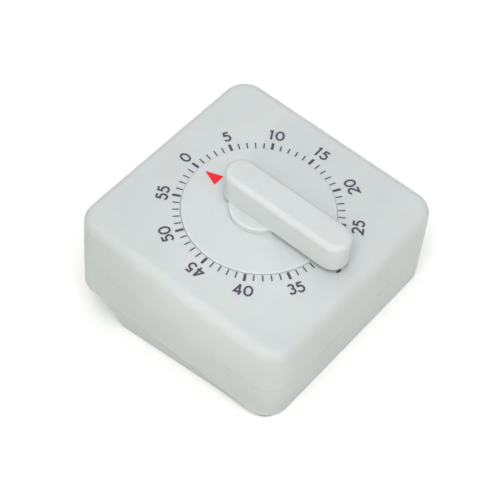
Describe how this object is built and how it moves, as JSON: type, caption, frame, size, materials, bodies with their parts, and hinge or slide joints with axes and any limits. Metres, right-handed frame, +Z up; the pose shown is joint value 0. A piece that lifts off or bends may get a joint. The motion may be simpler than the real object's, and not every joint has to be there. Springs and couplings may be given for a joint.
{
  "type": "kitchen timer",
  "caption": "Square mechanical kitchen timer that counts down sixty minutes on a bar-grip dial and rings a bell, standing on a wedge-shaped foot.",
  "frame": {"origin": "middle of the flat under the wedge foot, on the surface the timer stands on", "axes": "+Z up, -Y towards the user whom the leaned-back face looks at, +X to the right of the dial's zero mark"},
  "size_m": [0.0702, 0.0736, 0.0474],
  "materials": {
    "case_plastic": "satin moulded ABS",
    "knob_plastic": "satin moulded ABS",
    "dial_ink": "printed ink",
    "pointer_ink": "printed ink",
    "zinc_steel": "zinc plated",
    "plate_steel": "rolled sheet",
    "bright_steel": "turned",
    "stamped_steel": "stamped",
    "spring_steel": "tempered",
    "brass": "cut brass",
    "bell_metal": "polished"
  },
  "bodies": {
    "case": {"front_case": "case_plastic", "rear_case": "case_plastic", "case_screws": "zinc_steel", "front_plate": "plate_steel", "rear_plate": "plate_steel", "plate_pillars": "bright_steel", "pillar_screws": "zinc_steel", "movement_screws": "zinc_steel", "mainspring": "spring_steel", "spring_post": "bright_steel", "stop_post": "bright_steel", "trip_post": "bright_steel", "hammer_spring": "spring_steel", "trip_spring": "spring_steel", "bell": "bell_metal", "bell_stud": "bright_steel", "bell_washer": "zinc_steel", "bell_screw": "zinc_steel"},
    "dial": {"dial_knob": "knob_plastic", "main_arbor": "bright_steel", "great_wheel": "brass", "alarm_cam": "stamped_steel", "dial_stop_pin": "bright_steel"},
    "second_arbor": {"second_pinion": "brass", "ratchet_wheel": "stamped_steel"},
    "second_wheel": {"second_wheel": "brass", "click_pin": "bright_steel", "click_spring": "spring_steel"},
    "click": {"click": "stamped_steel"},
    "third_arbor": {"third_pinion": "brass", "third_wheel": "brass"},
    "escape": {"escape_pinion": "brass", "escape_wheel": "brass"},
    "pallets": {"pallet_lever": "stamped_steel", "pallet_pins": "bright_steel", "pallet_staff": "bright_steel"},
    "alarm_arbor": {"alarm_pinion": "brass", "star_wheel": "stamped_steel"},
    "hammer": {"hammer_staff": "bright_steel", "kick_lever": "stamped_steel", "hammer_arm": "stamped_steel", "hammer_head": "bright_steel"},
    "trip_lever": {"trip_lever": "stamped_steel"}
  },
  "joints": [
    {"name": "dial_turn", "type": "hinge", "parent": "case", "child": "dial", "pos_m": [0, 0.00195, 0.03458], "axis": [0, 0.184, -0.9829], "range_deg": [0, 350], "deforming": ["mainspring"]},
    {"name": "second_arbor_turn", "type": "hinge", "parent": "case", "child": "second_arbor", "pos_m": [0.01478, 0.00805, 0.02351], "axis": [0, 0.184, -0.9829], "continuous": true},
    {"name": "alarm_arbor_turn", "type": "hinge", "parent": "case", "child": "alarm_arbor", "pos_m": [-0.00239, -0.0107, 0.02], "axis": [0, 0.184, -0.9829], "continuous": true},
    {"name": "second_wheel_turn", "type": "hinge", "parent": "case", "child": "second_wheel", "pos_m": [0.01478, 0.00805, 0.02351], "axis": [0, 0.184, -0.9829], "continuous": true},
    {"name": "third_arbor_turn", "type": "hinge", "parent": "case", "child": "third_arbor", "pos_m": [0.01074, 0.01895, 0.02555], "axis": [0, 0.184, -0.9829], "continuous": true},
    {"name": "escape_turn", "type": "hinge", "parent": "case", "child": "escape", "pos_m": [0.00317, 0.02325, 0.02636], "axis": [0, 0.184, -0.9829], "continuous": true},
    {"name": "click_swing", "type": "hinge", "parent": "second_wheel", "child": "click", "pos_m": [0.01225, 0.00189, 0.0186], "axis": [0, -0.184, 0.9829], "range_deg": [0, 8], "stiffness_Nm_per_rad": 0.00001},
    {"name": "pallet_rock", "type": "hinge", "parent": "case", "child": "pallets", "pos_m": [-0.00501, 0.02268, 0.02625], "axis": [0, 0.184, -0.9829], "range_deg": [-6, 6]},
    {"name": "hammer_swing", "type": "hinge", "parent": "case", "child": "hammer", "pos_m": [0.012, -0.0101, 0.02012], "axis": [0, 0.184, -0.9829], "range_deg": [-8, 3.5], "stiffness_Nm_per_rad": 0.0005},
    {"name": "trip_lever_drop", "type": "hinge", "parent": "case", "child": "trip_lever", "pos_m": [-0.0125, -0.00328, 0.0163], "axis": [0, -0.184, 0.9829], "range_deg": [-8, 0], "stiffness_Nm_per_rad": 0.0002}
  ],
  "couplings": [
    {"joint": "second_arbor_turn", "follows": "dial_turn", "ratio": -7.5},
    {"joint": "alarm_arbor_turn", "follows": "dial_turn", "ratio": -7.5},
    {"joint": "third_arbor_turn", "follows": "second_wheel_turn", "ratio": -7.4286},
    {"joint": "escape_turn", "follows": "second_wheel_turn", "ratio": 54.476}
  ]
}
